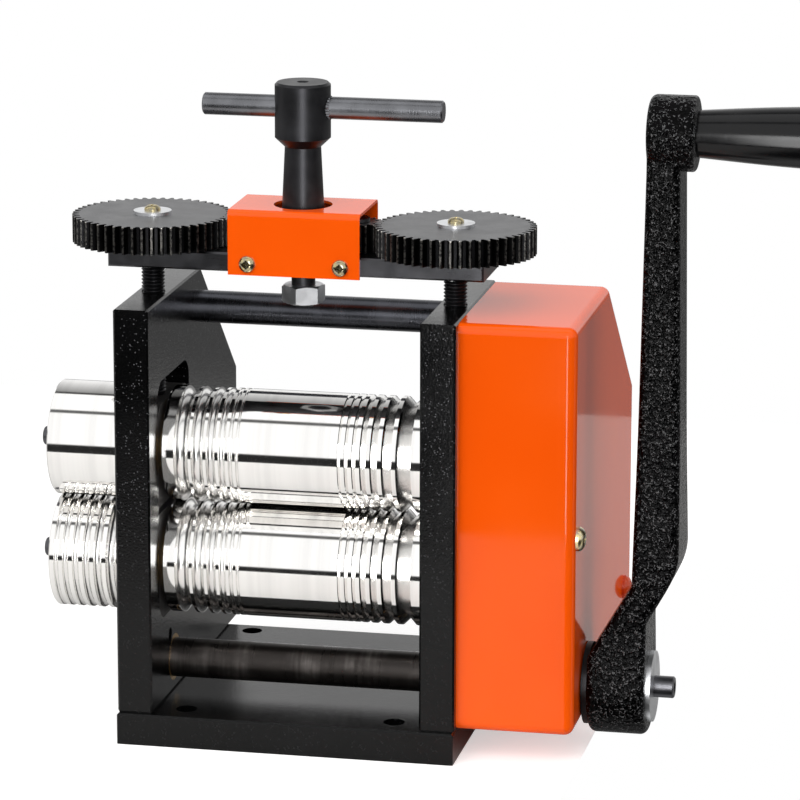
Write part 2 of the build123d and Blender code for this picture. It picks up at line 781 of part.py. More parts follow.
with BuildPart() as crank_shaft:
    with BuildSketch(half_section_x(axis_y, crank_height)):
        with BuildLine():
            Polyline(
                (shaft_left, 0), (shaft_left, crank_shaft_radius - 1), (shaft_left + 1, crank_shaft_radius),
                (drive_start, crank_shaft_radius), (drive_start, crank_nose_radius),
                (hub_end, crank_nose_radius), (hub_end, 0), close=True)
        make_face()
    revolve(axis=Axis((0, axis_y, crank_height), (1, 0, 0)))
    with BuildSketch(facing_x(hub_end, axis_y, crank_height)):
        Circle(crank_bolt_radius)
    extrude(amount=-crank_bolt_depth, mode=Mode.SUBTRACT)
    hub_key = key_section(hub_start, axis_y, crank_height, crank_nose_radius)
    extrude(hub_key, amount=hub_width, mode=Mode.SUBTRACT)
save(crank_shaft, "crank_shaft")

with BuildPart() as crank_key:
    extrude(hub_key, amount=hub_width)
save(crank_key, "crank_key")

ring_x(
    -cheek_outer - 2 * ring_thickness, ring_thickness, crank_shaft_radius,
    crank_shaft_radius + ring_height, axis_y, crank_height, "shaft_retaining_ring")
with BuildPart() as crank_spacer:
    with BuildSketch(facing_x(drive_end, axis_y, crank_height)):
        Circle(spacer_sleeve_radius)
    extrude(amount=spacer_start - drive_end)
    with BuildSketch(facing_x(spacer_start, axis_y, crank_height)):
        Circle(spacer_radius)
    extrude(amount=spacer_width)
    with BuildSketch(facing_x(drive_end, axis_y, crank_height)):
        Circle(crank_nose_radius)
    extrude(amount=hub_start - drive_end, mode=Mode.SUBTRACT)
save(crank_spacer, "crank_spacer")

boss_height = crank_height + crank_radius
boss_face = hub_start + boss_outer
with BuildPart() as crank_arm:
    # The front outline, cut by the side outline: every edge is then rounded.
    with BuildSketch(Plane(origin=(hub_start, axis_y, crank_height), x_dir=(1, 0, 0), z_dir=(0, -1, 0))):
        with BuildLine():
            shoulder = (hub_width, arm_shoulder_rise)
            flare = (arm_low_outer, arm_flare_rise)
            below = -2 * hub_radius
            above = crank_radius + 2 * boss_radius
            neck = crank_radius - boss_radius
            Polyline(
                shoulder, (hub_width, below), (0, below), (0, arm_diagonal_rise),
                (arm_low_inner, arm_bend_rise), (arm_high_inner, neck), (arm_high_inner, above),
                (arm_high_outer, above), (arm_high_outer, neck), flare)
            Spline(
                flare, (arm_low_outer - arm_flare_bulge, (arm_flare_rise + arm_shoulder_rise + arm_flare_bulge) / 2),
                shoulder, tangents=((0, -1), (-0.55, -1)))
        make_face()
    extrude(amount=2 * hub_radius, both=True)
    with BuildSketch(facing_x(hub_start, axis_y, crank_height)):
        with BuildLine():
            Line((-hub_radius, 0), (hub_radius, 0))
            for end in (-1, 1):
                hip = (end * arm_low_half_depth, arm_taper_start)
                waist = (end * arm_high_half_depth, arm_taper_end)
                Polyline((end * hub_radius, 0), (end * arm_low_half_depth, arm_hub_rise), hip)
                Spline(
                    hip, (end * (0.4 * arm_high_half_depth + 0.6 * arm_low_half_depth), arm_taper_start + 28),
                    waist, tangents=((0, 1), (0, 1)))
                Line(waist, (end * arm_high_half_depth, crank_radius))
            Line((-arm_high_half_depth, crank_radius), (arm_high_half_depth, crank_radius))
        make_face()
        Circle(hub_radius)
        with Locations((0, crank_radius)):
            Circle(boss_radius)
    extrude(amount=boss_outer, mode=Mode.INTERSECT)
    fillet(crank_arm.edges(), arm_round)
    with BuildSketch(facing_x(hub_start + arm_high_inner + arm_round, axis_y, boss_height)):
        Circle(boss_radius)
    extrude(amount=boss_outer - arm_high_inner - arm_round)
    fillet(crank_arm.faces().sort_by(Axis.X)[-1].edges(), boss_round)
    with BuildSketch(facing_x(hub_start, axis_y, crank_height)):
        Circle(crank_nose_radius)
    extrude(amount=hub_width, mode=Mode.SUBTRACT)
    extrude(hub_key, amount=hub_width, mode=Mode.SUBTRACT)
    with BuildSketch(facing_x(boss_face, axis_y, boss_height)):
        Circle(grip_pin_radius)
    extrude(amount=-grip_pin_depth, mode=Mode.SUBTRACT)
save(crank_arm, "crank_arm")

ring_x(
    hub_end, crank_washer_thickness, crank_bolt_radius, crank_washer_radius, axis_y, crank_height,
    "crank_washer")
crank_bolt_master = cap_screw(
    crank_bolt_radius, crank_washer_thickness + crank_bolt_depth - hole_bottom_gap, crank_bolt_head_radius,
    crank_bolt_head)
with BuildPart() as crank_bolt:
    with Locations(facing_x(hub_end + crank_washer_thickness, axis_y, crank_height)):
        add(crank_bolt_master)
save(crank_bolt, "crank_bolt")

grip_start = boss_face + grip_gap
grip_end = grip_start + grip_length
grip_axis = Axis((0, axis_y, boss_height), (1, 0, 0))
with BuildPart() as crank_grip:
    with BuildSketch(half_section_x(axis_y, boss_height)):
        with BuildLine():
            bore = grip_pin_radius + running_clearance
            Spline(
                (grip_start, grip_root_radius), (grip_start + 0.45 * grip_length, grip_full_radius - 0.3),
                (grip_start + 0.7 * grip_length, grip_full_radius), (grip_end - 6, grip_end_radius + 0.8))
            ThreePointArc(
                (grip_end - 6, grip_end_radius + 0.8), (grip_end - 1.5, grip_end_radius - 1.8),
                (grip_end, grip_end_radius - 3))
            Polyline(
                (grip_end, grip_end_radius - 3), (grip_end, bore), (grip_start, bore),
                (grip_start, grip_root_radius))
        make_face()
    revolve(axis=grip_axis)
    with BuildSketch(facing_x(grip_end, axis_y, boss_height)):
        Circle(grip_head_radius + head_clearance)
    extrude(amount=-grip_head_thickness - 1, mode=Mode.SUBTRACT)
save(crank_grip, "crank_grip")

grip_head_seat = grip_end - grip_head_thickness - 1 + head_clearance
grip_bolt_master = cap_screw(
    grip_pin_radius, grip_head_seat - boss_face + grip_pin_depth - hole_bottom_gap, grip_head_radius,
    grip_head_thickness)
with BuildPart() as grip_bolt:
    with Locations(facing_x(grip_head_seat, axis_y, boss_height)):
        add(grip_bolt_master)
save(grip_bolt, "grip_bolt")

# ======== adjusting screws and their gears ========

handle_tooth = 90.0
thread_top = beam_bottom - thrust_washer_thickness
thread_bottom = upper_block_top + screw_tip_gap
thread_turns = int((thread_top - thread_bottom) / screw_pitch)
for side, name in ((-1, "left"), (1, "right")):
    with BuildPart() as adjusting_screw:
        with BuildSketch(half_section_z(side * screw_x, axis_y)):
            with BuildLine():
                ridges = []
                for turn in range(thread_turns):
                    height = thread_top - turn * screw_pitch
                    ridges += [
                        (screw_radius - thread_depth, height),
                        (screw_radius, height - 0.45 * screw_pitch),
                        (screw_radius, height - 0.55 * screw_pitch)]
                tip = (screw_radius - thread_depth, thread_bottom)
                Polyline(
                    (0, thread_bottom), tip, *reversed(ridges), (screw_shank_radius, thread_top),
                    (screw_shank_radius, adjust_gear_top), (0, adjust_gear_top), close=True)
            make_face()
        revolve(axis=Axis((side * screw_x, axis_y, 0), (0, 0, 1)))
        with BuildSketch(Plane(origin=(side * screw_x, axis_y, adjust_gear_top))):
            Circle(gear_screw_radius)
        extrude(amount=-gear_screw_depth, mode=Mode.SUBTRACT)
    save(adjusting_screw, f"{name}_adjusting_screw")

    toward = 90.0 - side * 90.0
    idler_turn = meshing_tooth(handle_teeth, handle_tooth, adjust_idler_teeth, toward)
    gear_turn = meshing_tooth(adjust_idler_teeth, idler_turn, adjust_teeth, toward)
    adjust_pair = (
        ("adjust_idler", adjust_idler_x, adjust_idler_teeth, idler_turn, adjust_pin_radius + running_clearance),
        ("adjusting_gear", screw_x, adjust_teeth, gear_turn, screw_shank_radius))
    for piece, offset_x, teeth, tooth, bore in adjust_pair:
        with BuildPart() as adjust_gear:
            with BuildSketch(Plane(origin=(side * offset_x, axis_y, adjust_gear_bottom))):
                with BuildLine():
                    Polyline(*gear_outline(adjust_module, teeth, tooth, adjust_pressure), close=True)
                make_face()
                Circle(bore, mode=Mode.SUBTRACT)
            extrude(amount=adjust_gear_height)
        save(adjust_gear, f"{name}_{piece}")

    with BuildPart() as screw_washers:
        with BuildSketch(Plane(origin=(side * screw_x, axis_y, adjust_gear_top))):
            Circle(gear_washer_radius)
            Circle(gear_screw_radius, mode=Mode.SUBTRACT)
        extrude(amount=gear_washer_thickness)
        with BuildSketch(Plane(origin=(side * screw_x, axis_y, thread_top))):
            Circle(thrust_washer_radius)
            Circle(screw_shank_radius, mode=Mode.SUBTRACT)
        extrude(amount=thrust_washer_thickness)
    save(screw_washers, f"{name}_screw_washers")

    gear_screw_master = pan_screw(
        gear_screw_radius, gear_washer_thickness + gear_screw_depth - hole_bottom_gap, gear_screw_head,
        0.62 * gear_screw_head)
    with BuildPart() as gear_screw:
        with Locations((side * screw_x, axis_y, adjust_gear_top + gear_washer_thickness)):
            add(gear_screw_master)
    save(gear_screw, f"{name}_gear_screw")

# ======== bridge ========

bridge_half = beam_width / 2 + bridge_cover_wall
with BuildPart() as bridge_beam:
    with BuildSketch(Plane(origin=(0, axis_y, beam_bottom))):
        Rectangle(beam_length, beam_width)
        with GridLocations(2 * screw_x, 1, 2, 1):
            Circle(screw_shank_radius + running_clearance, mode=Mode.SUBTRACT)
        Circle(spindle_radius + running_clearance, mode=Mode.SUBTRACT)
        with GridLocations(2 * adjust_idler_x, 1, 2, 1):
            Circle(adjust_pin_radius, mode=Mode.SUBTRACT)
    extrude(amount=beam_height)
    chamfer(bridge_beam.faces().sort_by(Axis.Y)[0].edges(), edge_round)
    for side in (-1, 1):
        face = Plane(
            origin=(0, axis_y + side * beam_width / 2, bridge_screw_height), x_dir=(1, 0, 0), z_dir=(0, side, 0))
        with BuildSketch(face):
            with GridLocations(bridge_screw_spacing, 1, 2, 1):
                Circle(bridge_screw_radius)
        extrude(amount=-bridge_screw_depth, mode=Mode.SUBTRACT)
save(bridge_beam, "bridge_beam")

with BuildPart() as adjust_idler_pins:
    with BuildSketch(Plane(origin=(0, axis_y, beam_bottom))):
        with GridLocations(2 * adjust_idler_x, 1, 2, 1):
            Circle(adjust_pin_radius)
    extrude(amount=adjust_gear_top + adjust_pin_play - beam_bottom)
    with BuildSketch(Plane(origin=(0, axis_y, adjust_gear_top + adjust_pin_play))):
        with GridLocations(2 * adjust_idler_x, 1, 2, 1):
            Circle(adjust_pin_head_radius)
    extrude(amount=adjust_pin_head)
save(adjust_idler_pins, "adjust_idler_pins")

with BuildPart() as bridge_cover:
    cover_height = bridge_cover_top - bridge_cover_bottom
    with BuildSketch(facing_x(-bridge_cover_length / 2, axis_y, bridge_cover_bottom)):
        with Locations((0, cover_height / 2)):
            Rectangle(2 * bridge_half, cover_height)
    extrude(amount=bridge_cover_length)
    fillet(bridge_cover.edges().filter_by(Axis.X).group_by(Axis.Z)[-1], bridge_cover_round)
    with BuildSketch(facing_x(-bridge_cover_length / 2, axis_y, bridge_cover_bottom)):
        with BuildLine():
            FilletPolyline(
                (-beam_width / 2, 0), (-beam_width / 2, cover_height - bridge_cover_wall),
                (beam_width / 2, cover_height - bridge_cover_wall), (beam_width / 2, 0),
                radius=bridge_cover_round - bridge_cover_wall)
            Line((beam_width / 2, 0), (-beam_width / 2, 0))
        make_face()
    extrude(amount=bridge_cover_length, mode=Mode.SUBTRACT)
    with BuildSketch(Plane(origin=(0, axis_y, bridge_cover_top))):
        Circle(bridge_cover_hole)
    extrude(amount=-2 * bridge_cover_wall, mode=Mode.SUBTRACT)
    with BuildSketch(Plane(origin=(0, axis_y, bridge_screw_height), x_dir=(1, 0, 0), z_dir=(0, 1, 0))):
        with GridLocations(bridge_screw_spacing, 1, 2, 1):
            Circle(bridge_screw_radius)
    extrude(amount=bridge_half, both=True, mode=Mode.SUBTRACT)
save(bridge_cover, "bridge_cover")

bridge_screw = pan_screw(
    bridge_screw_radius, bridge_cover_wall + bridge_screw_depth - hole_bottom_gap, bridge_screw_head,
    0.62 * bridge_screw_head)
with BuildPart() as bridge_cover_screws:
    for side in (-1, 1):
        for x in (-bridge_screw_spacing / 2, bridge_screw_spacing / 2):
            face = Plane(
                origin=(x, axis_y + side * bridge_half, bridge_screw_height), x_dir=(1, 0, 0), z_dir=(0, side, 0))
            with Locations(face):
                add(bridge_screw)
save(bridge_cover_screws, "bridge_cover_screws")

# ======== tee handle ========

upright = Axis((0, axis_y, 0), (0, 0, 1))
with BuildPart() as handle_spindle:
    with BuildSketch(half_section_z(0, axis_y)):
        with BuildLine():
            Polyline(
                (0, stem_tip), (stem_radius - 0.8, stem_tip), (stem_radius, stem_tip + 0.8),
                (stem_radius, beam_bottom - 1), (spindle_radius, beam_bottom - 1),
                (spindle_radius, neck_bottom), (neck_low_radius, neck_bottom),
                (neck_top_radius, neck_top), (tee_hub_radius, hub_bottom),
                (tee_hub_radius, hub_top - 1), (tee_hub_radius - 1, hub_top), (2.6, hub_top),
                (0, hub_top - 2.2), close=True)
        make_face()
    revolve(axis=upright)
    with BuildSketch(facing_x(-tee_hub_radius, axis_y, bar_height)):
        Circle(bar_radius)
    extrude(amount=2 * tee_hub_radius, mode=Mode.SUBTRACT)
    with BuildSketch(facing_x(0, axis_y, bar_height)):
        Circle(knurl_radius)
    extrude(amount=tee_hub_radius, mode=Mode.SUBTRACT)
save(handle_spindle, "handle_spindle")

with BuildPart() as handle_bar:
    bar_start = bar_offset - bar_length / 2
    with BuildSketch(facing_x(bar_start, axis_y, bar_height)):
        Circle(bar_radius)
    extrude(amount=bar_length)
    chamfer(handle_bar.edges(), 0.6)
    with BuildSketch(facing_x(tee_hub_radius / 4, axis_y, bar_height)):
        with BuildLine():
            knurl = []
            for ridge in range(2 * knurl_ridges):
                angle = pi * ridge / knurl_ridges
                radius = knurl_radius if ridge % 2 else bar_radius - 0.1
                knurl.append((radius * cos(angle), radius * sin(angle)))
            Polyline(*knurl, close=True)
        make_face()
    extrude(amount=0.78 * tee_hub_radius)
save(handle_bar, "handle_bar")

with BuildPart() as handle_pinion:
    with BuildSketch(Plane(origin=(0, axis_y, adjust_gear_bottom))):
        with BuildLine():
            Polyline(*gear_outline(adjust_module, handle_teeth, handle_tooth, adjust_pressure), close=True)
        make_face()
        Circle(spindle_radius, mode=Mode.SUBTRACT)
    extrude(amount=adjust_gear_height)
save(handle_pinion, "handle_pinion")

with BuildPart() as spindle_nut:
    with BuildSketch(Plane(origin=(0, axis_y, nut_top))):
        RegularPolygon(nut_flats / 2, 6, major_radius=False, rotation=22.5)
    extrude(amount=-nut_height)
    with BuildSketch(half_section_z(0, axis_y)):
        with BuildLine():
            corner = nut_flats / 3 ** 0.5
            Polyline(
                (0, nut_top), (nut_flats / 2, nut_top), (corner + 0.1, nut_top - 0.75),
                (corner + 0.1, nut_top - nut_height + 0.75), (nut_flats / 2, nut_top - nut_height),
                (0, nut_top - nut_height), close=True)
        make_face()
    revolve(axis=upright, mode=Mode.INTERSECT)
    with BuildSketch(Plane(origin=(0, axis_y, nut_top))):
        Circle(stem_radius)
    extrude(amount=-nut_height, mode=Mode.SUBTRACT)
save(spindle_nut, "spindle_nut")
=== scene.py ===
import json
from math import cos, pi, radians, sin

import bpy
from mathutils import Matrix, Vector

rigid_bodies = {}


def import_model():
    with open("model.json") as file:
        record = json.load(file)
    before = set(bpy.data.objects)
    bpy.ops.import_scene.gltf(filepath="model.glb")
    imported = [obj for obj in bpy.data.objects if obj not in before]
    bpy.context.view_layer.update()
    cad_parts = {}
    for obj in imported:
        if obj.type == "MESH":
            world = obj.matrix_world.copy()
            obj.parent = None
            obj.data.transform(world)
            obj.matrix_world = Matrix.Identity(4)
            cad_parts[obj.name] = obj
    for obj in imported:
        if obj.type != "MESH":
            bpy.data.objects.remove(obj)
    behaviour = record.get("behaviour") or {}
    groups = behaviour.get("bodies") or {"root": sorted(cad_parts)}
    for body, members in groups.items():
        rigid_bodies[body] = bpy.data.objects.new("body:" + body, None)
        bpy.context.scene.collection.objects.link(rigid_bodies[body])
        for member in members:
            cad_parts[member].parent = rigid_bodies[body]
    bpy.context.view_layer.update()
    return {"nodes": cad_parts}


# Jewellers rolling mill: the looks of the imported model, in metres, in the model's own frame.
for left_over in list(bpy.data.objects):
    bpy.data.objects.remove(left_over)
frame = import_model()
nodes = frame["nodes"]

# ---- base plate and cheeks ----
# Steel plates, sawn and milled, bolted together from below.
# They are sprayed with black powder paint that bakes to a fine grain, with glints painted into
# its colour, more of them higher up.


class Socket:
    """An output in a finish's node tree; sums and products of numbers add Math nodes."""

    def __init__(self, tree, out=None):
        self.tree, self.out = tree, out

    def node(self, kind, settings=(), output=0, **inputs):
        """Add a node: first its settings and a ramp's stops, then its inputs' values or links."""
        made = self.tree.nodes.new(kind)
        for name, value in dict(settings).items():
            if name == "stops":
                ramp = made.color_ramp.elements
                while len(ramp) < len(value):
                    ramp.new(1.0)
                for stop, (place, colour) in zip(ramp, value):
                    stop.position, stop.color = place, (*colour, 1)
            else:
                setattr(made, name, value)
        for name, value in inputs.items():
            socket = made.inputs[int(name[1:]) if name[1:].isdigit() else name.replace("_", " ")]
            if isinstance(value, Socket):
                self.tree.links.new(value.out, socket)
            elif isinstance(value, tuple) and len(value) == 3 and socket.type == "RGBA":
                socket.default_value = (*value, 1)
            else:
                socket.default_value = value
        return Socket(self.tree, made.outputs[output] if made.outputs else None)

    def maths(self, operation, first, second):
        return self.node("ShaderNodeMath", {"operation": operation}, _0=first, _1=second)

    def __add__(self, other): return self.maths("ADD", self, other)
    def __radd__(self, other): return self.maths("ADD", other, self)
    def __sub__(self, other): return self.maths("SUBTRACT", self, other)
    def __rsub__(self, other): return self.maths("SUBTRACT", other, self)
    def __mul__(self, other): return self.maths("MULTIPLY", self, other)
    def __rmul__(self, other): return self.maths("MULTIPLY", other, self)
    def __truediv__(self, other): return self.maths("DIVIDE", self, other)
    def __gt__(self, other): return self.maths("GREATER_THAN", self, other)
    def __lt__(self, other): return self.maths("LESS_THAN", self, other)

    def between(self, low, high):
        """Colour that goes from low to high as this number goes from 0 to 1."""
        return self.node("ShaderNodeMix", {"data_type": "RGBA"}, output=2,
                         _0=self, _6=low, _7=high)

    def spread(self, low, high):
        """This number as it goes from low to high, stretched to 0 to 1 and held there."""
        return self.node("ShaderNodeMapRange", {"interpolation_type": "SMOOTHSTEP"},
                         Value=self, From_Min=low, From_Max=high)

    def part(self, letter):
        """The X, Y or Z of this place."""
        return self.node("ShaderNodeSeparateXYZ", output=letter, Vector=self)

    def away(self, keep, centre):
        """Distance from the centre, counted only along the axes that keep holds as 1."""
        kept = self.node("ShaderNodeVectorMath", {"operation": "MULTIPLY"}, _0=self, _1=keep)
        return self.node("ShaderNodeVectorMath", {"operation": "DISTANCE"}, output="Value",
                         _0=kept, _1=centre)


def noise(at, scale, detail=2.0, stretch=(1, 1, 1)):
    """Noise with grains about 1/scale metres across; a stretch under 1 draws them out there."""
    place = at.node("ShaderNodeVectorMath", {"operation": "MULTIPLY"}, _0=at, _1=stretch)
    return at.node("ShaderNodeTexNoise", Vector=place, Scale=scale, Detail=detail)


def finish(name, look, *pieces):
    """Make the finish that look(at) describes, at being the place on a piece, for those nodes."""
    material = bpy.data.materials.new(name)
    material.use_nodes = True
    tree = material.node_tree
    tree.nodes.clear()
    at = Socket(tree).node("ShaderNodeTexCoord", output="Object")
    at.node("ShaderNodeOutputMaterial", Surface=look(at))
    for piece in pieces:
        for place in nodes[piece].material_slots:
            place.material = material
    return material


def grain(at, height, distance):
    """Surface relief: height from 0 to 1 stands for distance in metres."""
    return at.node("ShaderNodeBump", Height=height, Distance=distance, Strength=1.0)


def surface(at, **inputs):
    return at.node("ShaderNodeBsdfPrincipled", **inputs)


def powder_paint(at):
    lumps = noise(at, 1050)
    fine = noise(at, 2600, 1.0)
    specks = at.node("ShaderNodeTexVoronoi", Vector=at, Scale=800.0)
    painted_glint_rise = at.part("Z").spread(0.05, 0.15)
    # Painted glints: pale specks put into the colour, fading out towards the bottom.
    painted_glint = (specks < 0.24) * (noise(at, 420, 1.0) > 0.52) * (0.12 + 0.88 * painted_glint_rise)
    handled = noise(at, 28, 3.0).spread(0.35, 0.7)
    black = handled.between((0.0008, 0.0008, 0.0009), (0.0016, 0.0016, 0.0018))
    return surface(
        at,
        Base_Color=painted_glint.between(black, (0.09, 0.09, 0.095)),
        Roughness=0.15 + 0.05 * handled + 0.04 * fine,
        Specular_IOR_Level=0.26,
        Normal=grain(at, lumps + 0.3 * fine, 0.00009))


finish("black_paint", powder_paint, "base_plate", "left_cheek", "right_cheek")

# ---- frame screws, cover posts, idler pin and upper tie bar ----
# Socket screws hold the cheeks down from below and close the ends of the turned tie bar.
# All of these are steel, blackened in hot salts and oiled, satin with a faint turned grain.


def black_oxide(at, drawn=(1, 1, 1), colour=(0.11, 0.11, 0.118), sheen=0.24):
    """Blackened steel whose grain is drawn out along the axes where drawn is small."""
    film = noise(at, 90, 4.0).spread(0.3, 0.75)
    turned = noise(at, 2600, 2.0, drawn)
    return surface(
        at,
        Base_Color=film.between(tuple(0.85 * c for c in colour), tuple(1.2 * c for c in colour)),
        Metallic=1.0,
        Roughness=sheen + 0.08 * film + 0.08 * turned,
        Normal=grain(at, turned + 0.6 * film, 0.00003))


finish("tie_bar_oxide", lambda at: black_oxide(at, (1, 0.04, 0.04), (0.075, 0.077, 0.088), 0.2),
       "upper_tie_bar")
finish("black_oxide", black_oxide, "frame_screws", "cover_posts", "idler_pin")

# ---- bearing blocks and bushes ----
# Blackened iron blocks fill the cheek windows; the upper pair slides and the lower pair rests.
# Each is bored for a flanged bronze bush, pressed in and turned to size.


def milled_iron(at):
    cutter = noise(at, 900, 2.0, (1, 1, 0.03))
    stain = noise(at, 70, 4.0).spread(0.35, 0.7)
    return surface(
        at,
        Base_Color=stain.between((0.022, 0.021, 0.021), (0.045, 0.043, 0.042)),
        Metallic=0.6,
        Roughness=0.38 + 0.14 * stain + 0.1 * cutter,
        Normal=grain(at, cutter, 0.00004))


def turned_bronze(at):
    lines = noise(at, 2400, 2.0, (1, 0.05, 0.05))
    tarnish = noise(at, 120, 4.0).spread(0.4, 0.75)
    return surface(
        at,
        Base_Color=tarnish.between((0.60, 0.40, 0.17), (0.38, 0.24, 0.10)),
        Metallic=1.0,
        Roughness=0.22 + 0.16 * tarnish + 0.1 * lines,
        Normal=grain(at, lines, 0.00002))


finish("block_iron", milled_iron, "left_lower_bearing_block", "right_lower_bearing_block",
       "left_upper_bearing_block", "right_upper_bearing_block")
finish("bush_bronze", turned_bronze, "lower_bushes", "upper_bushes", "crank_bushes")

# ---- bearing springs ----
# Four coil springs, cold wound from drawn wire with the scale of the die still on it.
# They stand in pockets between the blocks and lift the upper roll.


def drawn_wire(at):
    scale = noise(at, 500, 3.0).spread(0.35, 0.7)
    return surface(
        at,
        Base_Color=scale.between((0.34, 0.34, 0.35), (0.20, 0.19, 0.19)),
        Metallic=1.0,
        Roughness=0.26 + 0.2 * scale,
        Normal=grain(at, noise(at, 3000, 1.0), 0.00001))


finish("spring_steel", drawn_wire, "bearing_springs")

# ---- rolls and extension rolls ----
# Hardened steel, ground between centres and polished to a mirror; the grooves are turned.
# The wheel leaves hairlines around the rolls, and doesn't reach into the grooves.

axis_y = -0.031
lower_roll_height, upper_roll_height, roll_radius = 0.0735, 0.1227, 0.0245


def mirror_steel(at, height):
    """Polished steel of a roll whose axis lies at that height, duller down in its grooves."""
    out = at.away((0, 1, 1), (0, axis_y, height))
    groove = 1 - out.spread(roll_radius - 0.0012, roll_radius - 0.0001)
    hairlines = noise(at, 5200, 3.0, (1, 0.02, 0.02))
    bands = noise(at, 260, 3.0, (1, 0.01, 0.01)).spread(0.35, 0.7)
    touch = noise(at, 60, 4.0).spread(0.5, 0.8)
    return surface(
        at,
        Base_Color=(bands * 0.5 + groove * 0.5).between((0.96, 0.95, 0.93), (0.80, 0.79, 0.775)),
        Metallic=1.0,
        Roughness=0.045 + 0.02 * bands + 0.04 * touch + 0.03 * hairlines + 0.15 * groove,
        Normal=grain(at, hairlines, 0.0000018))


finish("lower_roll_steel", lambda at: mirror_steel(at, lower_roll_height),
       "lower_roll", "lower_extension_roll")
finish("upper_roll_steel", lambda at: mirror_steel(at, upper_roll_height),
       "upper_roll", "upper_extension_roll")

# ---- keys, washers, bolts and nuts ----
# Square keys carry the gears and the extension rolls; a washer and a screw close each roll end.
# Keys, screws and the crank's bolt are blackened; washers, grip bolt and nut are zinc plated.


def bright_zinc(at):
    haze = noise(at, 140, 4.0).spread(0.35, 0.75)
    lay = noise(at, 2800, 2.0, (1, 0.1, 0.1))
    return surface(
        at,
        Base_Color=haze.between((0.86, 0.87, 0.89), (0.70, 0.71, 0.72)),
        Metallic=1.0,
        Roughness=0.27 + 0.12 * haze + 0.06 * lay,
        Normal=grain(at, lay, 0.00001))


finish("white_zinc", bright_zinc, "lower_roll_washer", "upper_roll_washer", "crank_washer",
       "grip_bolt", "spindle_nut", "left_screw_washers", "right_screw_washers")
finish("key_oxide", black_oxide, "lower_roll_keys", "upper_roll_keys", "lower_roll_screws",
       "upper_roll_screws", "crank_key", "crank_bolt")

# ---- roll gears and reduction gears ----
# Cut steel, left bright and oiled.
# The flanks of the teeth shine, and the faces hold a brown film of old oil.


def cut_steel(at):
    oil = noise(at, 75, 4.0).spread(0.35, 0.7)
    faced = noise(at, 1900, 2.0, (1, 0.2, 0.2))
    return surface(
        at,
        Base_Color=oil.between((0.40, 0.40, 0.41), (0.20, 0.17, 0.14)),
        Metallic=1.0,
        Roughness=0.24 + 0.14 * faced + 0.06 * oil,
        Normal=grain(at, faced, 0.00002))


finish("gear_steel", cut_steel, "lower_roll_gear", "upper_roll_gear", "drive_gear",
       "idler_gear", "crank_pinion")

# ---- crank shaft, its spacer and its retaining ring ----
# A turned shaft with its black scale worn brown and bright in rings by the bushes and handling.
# A blackened stepped spacer holds the arm clear of the gear cover, and a ring holds the shaft.


def worn_shaft(at):
    rings = noise(at, 420, 4.0, (1, 0.05, 0.05)).spread(0.3, 0.75)
    rubbed = noise(at, 55, 5.0).spread(0.45, 0.75)
    return surface(
        at,
        Base_Color=(rings * rubbed).between((0.030, 0.026, 0.024), (0.115, 0.104, 0.098)),
        Metallic=0.85,
        Roughness=0.24 + 0.16 * rings + 0.08 * rubbed,
        Normal=grain(at, noise(at, 2200, 2.0, (1, 0.04, 0.04)), 0.00002))


finish("shaft_steel", worn_shaft, "crank_shaft")
finish("spacer_oxide", lambda at: black_oxide(at, (1, 0.05, 0.05), (0.02, 0.02, 0.021), 0.30),
       "crank_spacer")
finish("ring_oxide", black_oxide, "shaft_retaining_ring")

# ---- gear cover, bridge cover and their screws ----
# Bent sheet steel over the gears, in thick gloss orange enamel with a little orange peel.
# Plated cross-head screws hold the covers; the gear cover's sit in its posts.


def orange_enamel(at):
    peel = noise(at, 150, 1.0)
    flow = noise(at, 18).spread(0.3, 0.7)
    return surface(
        at,
        Base_Color=flow.between((0.965, 0.098, 0.002), (0.99, 0.108, 0.003)),
        Roughness=0.05 + 0.04 * flow,
        Specular_IOR_Level=0.27,
        Coat_Weight=0.05,
        Coat_Roughness=0.03,
        Normal=grain(at, peel, 0.000006))


def yellow_zinc(at):
    rainbow = noise(at, 500, 3.0).spread(0.3, 0.7)
    return surface(
        at,
        Base_Color=rainbow.between((0.56, 0.46, 0.22), (0.36, 0.33, 0.25)),
        Metallic=1.0,
        Roughness=0.13 + 0.10 * rainbow,
        Normal=grain(at, noise(at, 2600, 1.0), 0.00001))


def cover_screw(at):
    """The front screw is plated, and the rear one is coloured the cover's orange."""
    # The rear screw, beyond y = 0, is coloured orange instead of plated.
    rear_orange = at.part("Y") > 0.0
    rainbow = noise(at, 500, 3.0).spread(0.3, 0.7)
    plating = rainbow.between((0.80, 0.66, 0.34), (0.62, 0.58, 0.48))
    return surface(
        at,
        Base_Color=rear_orange.between(plating, (0.62, 0.055, 0.004)),
        Metallic=1 - rear_orange,
        Roughness=0.20 + 0.12 * rainbow,
        Normal=grain(at, noise(at, 2600, 1.0), 0.00001))


finish("orange_enamel", orange_enamel, "gear_cover", "bridge_cover")
finish("cover_screw", cover_screw, "cover_screws")
finish("yellow_zinc", yellow_zinc, "bridge_cover_screws", "left_gear_screw", "right_gear_screw")

# ---- crank arm ----
# A rough iron casting, bored for the shaft and the grip's bolt.
# It is dipped in gloss black enamel that keeps the lumps of the sand mould, with glints painted
# on them as pale streaks.


